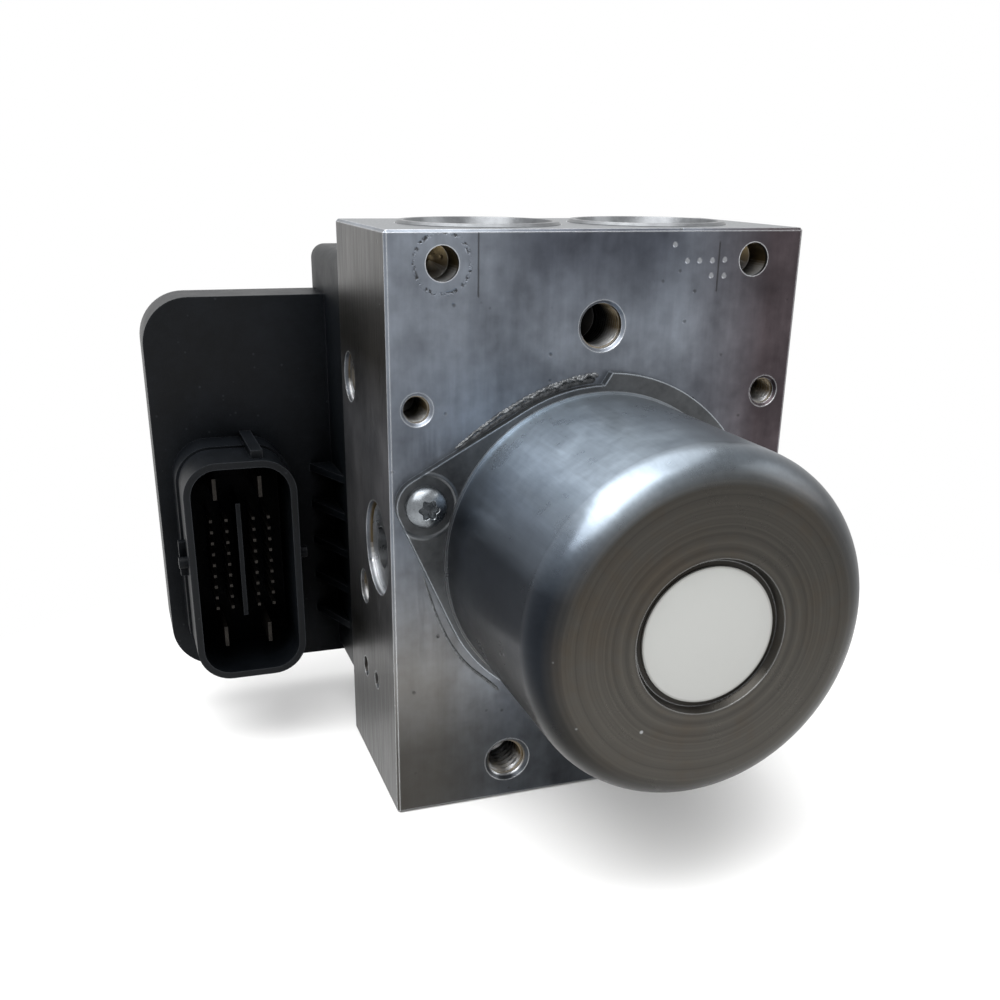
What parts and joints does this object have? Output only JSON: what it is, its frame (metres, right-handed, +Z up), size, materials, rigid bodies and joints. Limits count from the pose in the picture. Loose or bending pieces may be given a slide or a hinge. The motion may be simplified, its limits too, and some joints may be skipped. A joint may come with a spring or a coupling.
{
  "type": "abs brake module",
  "caption": "Anti-lock brake module: machined valve block with round pump motor in front and a plug-in control unit behind.",
  "frame": {"origin": "middle of the valve block's bottom face", "axes": "+Z up, the motor points to -Y, the plug wing stands out to -X"},
  "size_m": [0.1251, 0.127, 0.1186],
  "materials": {
    "machined_aluminium": "milled, dull, mottled",
    "bare_aluminium": "turned, satin",
    "bearing_steel": "ground",
    "spring_steel": "drawn wire",
    "black_rubber": "matt",
    "valve_steel": "turned",
    "can_steel": "drawn, dark, satin",
    "flange_steel": "pressed, satin",
    "screw_steel": "zinc plated",
    "bronze": "sintered",
    "magnet_ferrite": "sintered ferrite",
    "core_steel": "stacked laminations",
    "copper": "enamelled copper",
    "carbon": "pressed carbon",
    "holder_plastic": "moulded",
    "label_film": "smooth blank film",
    "housing_plastic": "moulded, satin black",
    "lid_plastic": "moulded, satin black",
    "board_laminate": "solder resist",
    "component_plastic": "moulded",
    "tinned_pins": "tinned"
  },
  "bodies": {
    "hydraulic_unit": {"accumulator_cap_left": "bare_aluminium", "accumulator_cap_right": "bare_aluminium", "accumulator_spring_left": "spring_steel", "accumulator_spring_right": "spring_steel", "brush_holder": "holder_plastic", "brush_springs": "spring_steel", "circuit_board": "board_laminate", "circuit_components": "component_plastic", "coil_bobbins": "holder_plastic", "coil_windings": "copper", "coil_yokes": "valve_steel", "connector_pins": "tinned_pins", "ecu_gasket": "black_rubber", "ecu_housing": "housing_plastic", "ecu_lid": "lid_plastic", "ecu_screws": "screw_steel", "end_bearing": "bearing_steel", "front_bearing_outer": "bearing_steel", "gallery_plugs": "bare_aluminium", "hydraulic_block": "machined_aluminium", "inlet_valves": "valve_steel", "magnets": "magnet_ferrite", "motor_can": "can_steel", "motor_contact": "holder_plastic", "motor_flange": "flange_steel", "motor_label": "label_film", "motor_screws": "screw_steel", "outlet_valves": "valve_steel", "pump_plug_left": "bare_aluminium", "pump_plug_right": "bare_aluminium", "pump_sleeve_left": "bearing_steel", "pump_sleeve_right": "bearing_steel", "pump_spring_left": "spring_steel", "pump_spring_right": "spring_steel", "rear_bush": "bronze", "sealing_bead": "black_rubber", "valve_springs": "spring_steel"},
    "rotor": {"motor_shaft": "bearing_steel", "armature_core": "core_steel", "armature_winding": "copper", "commutator": "copper", "front_bearing_inner": "bearing_steel", "front_bearing_balls": "bearing_steel", "eccentric_ring": "bearing_steel"},
    "pump_piston_left_set": {"pump_piston_left": "bearing_steel"},
    "accumulator_piston_left_set": {"accumulator_piston_left": "bare_aluminium", "accumulator_ring_left": "black_rubber"},
    "brush_left_set": {"brush_left": "carbon"},
    "pump_piston_right_set": {"pump_piston_right": "bearing_steel"},
    "accumulator_piston_right_set": {"accumulator_piston_right": "bare_aluminium", "accumulator_ring_right": "black_rubber"},
    "brush_right_set": {"brush_right": "carbon"},
    "inlet_plunger_1_set": {"inlet_plunger_1": "valve_steel"},
    "inlet_plunger_2_set": {"inlet_plunger_2": "valve_steel"},
    "inlet_plunger_3_set": {"inlet_plunger_3": "valve_steel"},
    "inlet_plunger_4_set": {"inlet_plunger_4": "valve_steel"},
    "outlet_plunger_1_set": {"outlet_plunger_1": "valve_steel"},
    "outlet_plunger_2_set": {"outlet_plunger_2": "valve_steel"},
    "outlet_plunger_3_set": {"outlet_plunger_3": "valve_steel"},
    "outlet_plunger_4_set": {"outlet_plunger_4": "valve_steel"}
  },
  "joints": [
    {"name": "rotor_spin", "type": "hinge", "parent": "hydraulic_unit", "child": "rotor", "pos_m": [0, -0.021, 0.0558], "axis": [0, -1, 0], "continuous": true},
    {"name": "pump_piston_left_slide", "type": "slide", "parent": "hydraulic_unit", "child": "pump_piston_left_set", "axis": [-1, 0, 0], "range_m": [0, 0.002], "stiffness_N_per_m": 400, "springref_m": -0.004, "deforming": ["pump_spring_left"]},
    {"name": "accumulator_piston_left_slide", "type": "slide", "parent": "hydraulic_unit", "child": "accumulator_piston_left_set", "axis": [0, 0, 1], "range_m": [0, 0.0065], "stiffness_N_per_m": 1000, "springref_m": -0.005, "deforming": ["accumulator_spring_left"]},
    {"name": "brush_left_slide", "type": "slide", "parent": "hydraulic_unit", "child": "brush_left_set", "axis": [-1, 0, 0], "range_m": [0, 0.0015], "stiffness_N_per_m": 200, "springref_m": -0.004, "deforming": ["brush_springs"]},
    {"name": "pump_piston_right_slide", "type": "slide", "parent": "hydraulic_unit", "child": "pump_piston_right_set", "axis": [1, 0, 0], "range_m": [0, 0.002], "stiffness_N_per_m": 400, "springref_m": -0.004, "deforming": ["pump_spring_right"]},
    {"name": "accumulator_piston_right_slide", "type": "slide", "parent": "hydraulic_unit", "child": "accumulator_piston_right_set", "axis": [0, 0, 1], "range_m": [0, 0.0065], "stiffness_N_per_m": 1000, "springref_m": -0.005, "deforming": ["accumulator_spring_right"]},
    {"name": "brush_right_slide", "type": "slide", "parent": "hydraulic_unit", "child": "brush_right_set", "axis": [1, 0, 0], "range_m": [0, 0.0015], "stiffness_N_per_m": 200, "springref_m": -0.004},
    {"name": "inlet_valve_1_slide", "type": "slide", "parent": "hydraulic_unit", "child": "inlet_plunger_1_set", "axis": [0, -1, 0], "range_m": [0, 0.0004], "stiffness_N_per_m": 300, "springref_m": -0.002, "deforming": ["valve_springs"]},
    {"name": "inlet_valve_2_slide", "type": "slide", "parent": "hydraulic_unit", "child": "inlet_plunger_2_set", "axis": [0, -1, 0], "range_m": [0, 0.0004], "stiffness_N_per_m": 300, "springref_m": -0.002},
    {"name": "inlet_valve_3_slide", "type": "slide", "parent": "hydraulic_unit", "child": "inlet_plunger_3_set", "axis": [0, -1, 0], "range_m": [0, 0.0004], "stiffness_N_per_m": 300, "springref_m": -0.002},
    {"name": "inlet_valve_4_slide", "type": "slide", "parent": "hydraulic_unit", "child": "inlet_plunger_4_set", "axis": [0, -1, 0], "range_m": [0, 0.0004], "stiffness_N_per_m": 300, "springref_m": -0.002},
    {"name": "outlet_valve_1_slide", "type": "slide", "parent": "hydraulic_unit", "child": "outlet_plunger_1_set", "axis": [0, 1, 0], "range_m": [0, 0.0004], "stiffness_N_per_m": 300, "springref_m": -0.002},
    {"name": "outlet_valve_2_slide", "type": "slide", "parent": "hydraulic_unit", "child": "outlet_plunger_2_set", "axis": [0, 1, 0], "range_m": [0, 0.0004], "stiffness_N_per_m": 300, "springref_m": -0.002},
    {"name": "outlet_valve_3_slide", "type": "slide", "parent": "hydraulic_unit", "child": "outlet_plunger_3_set", "axis": [0, 1, 0], "range_m": [0, 0.0004], "stiffness_N_per_m": 300, "springref_m": -0.002},
    {"name": "outlet_valve_4_slide", "type": "slide", "parent": "hydraulic_unit", "child": "outlet_plunger_4_set", "axis": [0, 1, 0], "range_m": [0, 0.0004], "stiffness_N_per_m": 300, "springref_m": -0.002}
  ]
}
